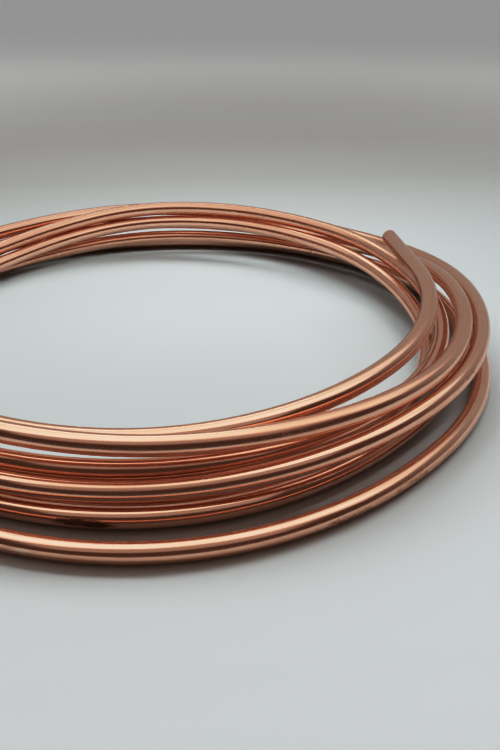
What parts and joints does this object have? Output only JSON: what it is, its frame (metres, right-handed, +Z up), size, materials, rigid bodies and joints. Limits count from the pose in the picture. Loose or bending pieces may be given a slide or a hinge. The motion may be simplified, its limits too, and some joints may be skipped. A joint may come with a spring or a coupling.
{
  "type": "copper tube coil",
  "caption": "Loose coil of bare round copper tube lying flat, its turns resting unevenly on each other and one cut end lifted free, to be unrolled and cut for pipework",
  "frame": {"origin": "middle of the coil's outline, on the floor it lies on", "axes": "Z up through the coil's open middle, X to the right and Y away from the viewer of the picture"},
  "size_m": [0.416, 0.4364, 0.053],
  "materials": {
    "copper": "bright drawn copper, rubbed dull in places"
  },
  "bodies": {
    "root": {"copper_tube": "copper"}
  },
  "joints": []
}
